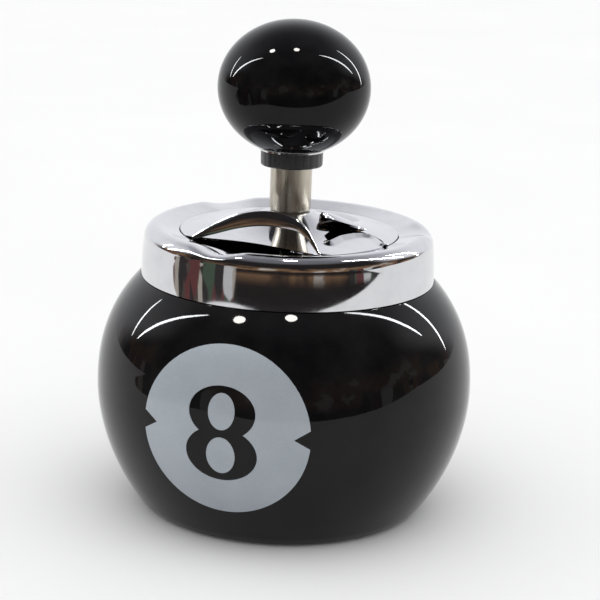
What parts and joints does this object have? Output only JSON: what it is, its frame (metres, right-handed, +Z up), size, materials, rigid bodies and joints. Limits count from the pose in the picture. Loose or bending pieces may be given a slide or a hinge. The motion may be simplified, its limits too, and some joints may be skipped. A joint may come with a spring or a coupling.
{
  "type": "push-down ashtray in the form of a numbered pool ball",
  "caption": "Ball-shaped ceramic ashtray with a number roundel and a chromed lid whose rotor plate lowers and spins when its knob is pushed.",
  "frame": {"origin": "on the floor under the centre of the ball, on the axis of the knob", "axes": "+Z up along the knob's axis, number roundel facing -Y, +X to the roundel's right as seen"},
  "size_m": [0.11, 0.1102, 0.1429],
  "materials": {
    "black_glaze": "deep black gloss glaze",
    "silver_transfer": "fired silver-grey transfer, satin",
    "felt": "pressed felt",
    "seat_rubber": "moulded",
    "lid_chrome": "polished chrome plate",
    "rotor_chrome": "polished chrome plate",
    "zinc_steel": "zinc plated",
    "spindle_steel": "drawn and oiled",
    "spring_steel": "drawn wire",
    "hub_nickel": "nickel plate",
    "tube_nickel": "satin nickel plate",
    "brass": "turned",
    "bush_plastic": "moulded acetal",
    "tube_plug_steel": "turned",
    "collar_plastic": "moulded black",
    "washer_steel": "bright",
    "knob_gloss": "polished black"
  },
  "bodies": {
    "bowl": {"bowl": "black_glaze", "number_roundel": "silver_transfer", "base_pad": "felt", "lid_seat_ring": "seat_rubber"},
    "lid": {"lid_ring": "lid_chrome", "stirrup": "zinc_steel", "spindle": "spindle_steel", "spindle_nut": "zinc_steel", "spring_seat": "zinc_steel", "stop_clip": "zinc_steel", "return_spring": "spring_steel"},
    "plunger": {"push_tube": "tube_nickel", "tube_bush": "bush_plastic", "tube_plug": "tube_plug_steel", "knob_stud": "zinc_steel", "knob_insert": "brass", "collar": "collar_plastic", "knob_washer": "washer_steel", "knob": "knob_gloss"},
    "rotor": {"rotor_plate": "rotor_chrome", "rotor_hub": "hub_nickel", "drive_nut": "brass", "retaining_clip": "spring_steel", "spring_cap": "zinc_steel"}
  },
  "joints": [
    {"name": "lid_lift", "type": "slide", "parent": "bowl", "child": "lid", "axis": [0, 0, 1], "range_m": [0, 0.06]},
    {"name": "knob_push", "type": "slide", "parent": "lid", "child": "plunger", "axis": [0, 0, -1], "range_m": [0, 0.012], "stiffness_N_per_m": 300, "springref_m": -0.008, "deforming": ["return_spring"]},
    {"name": "rotor_spin", "type": "hinge", "parent": "plunger", "child": "rotor", "pos_m": [0, 0, 0.08], "axis": [0, 0, -1], "range_deg": [0, 220]}
  ],
  "couplings": [
    {"joint": "rotor_spin", "follows": "knob_push", "rad_per_m": 314.16}
  ]
}
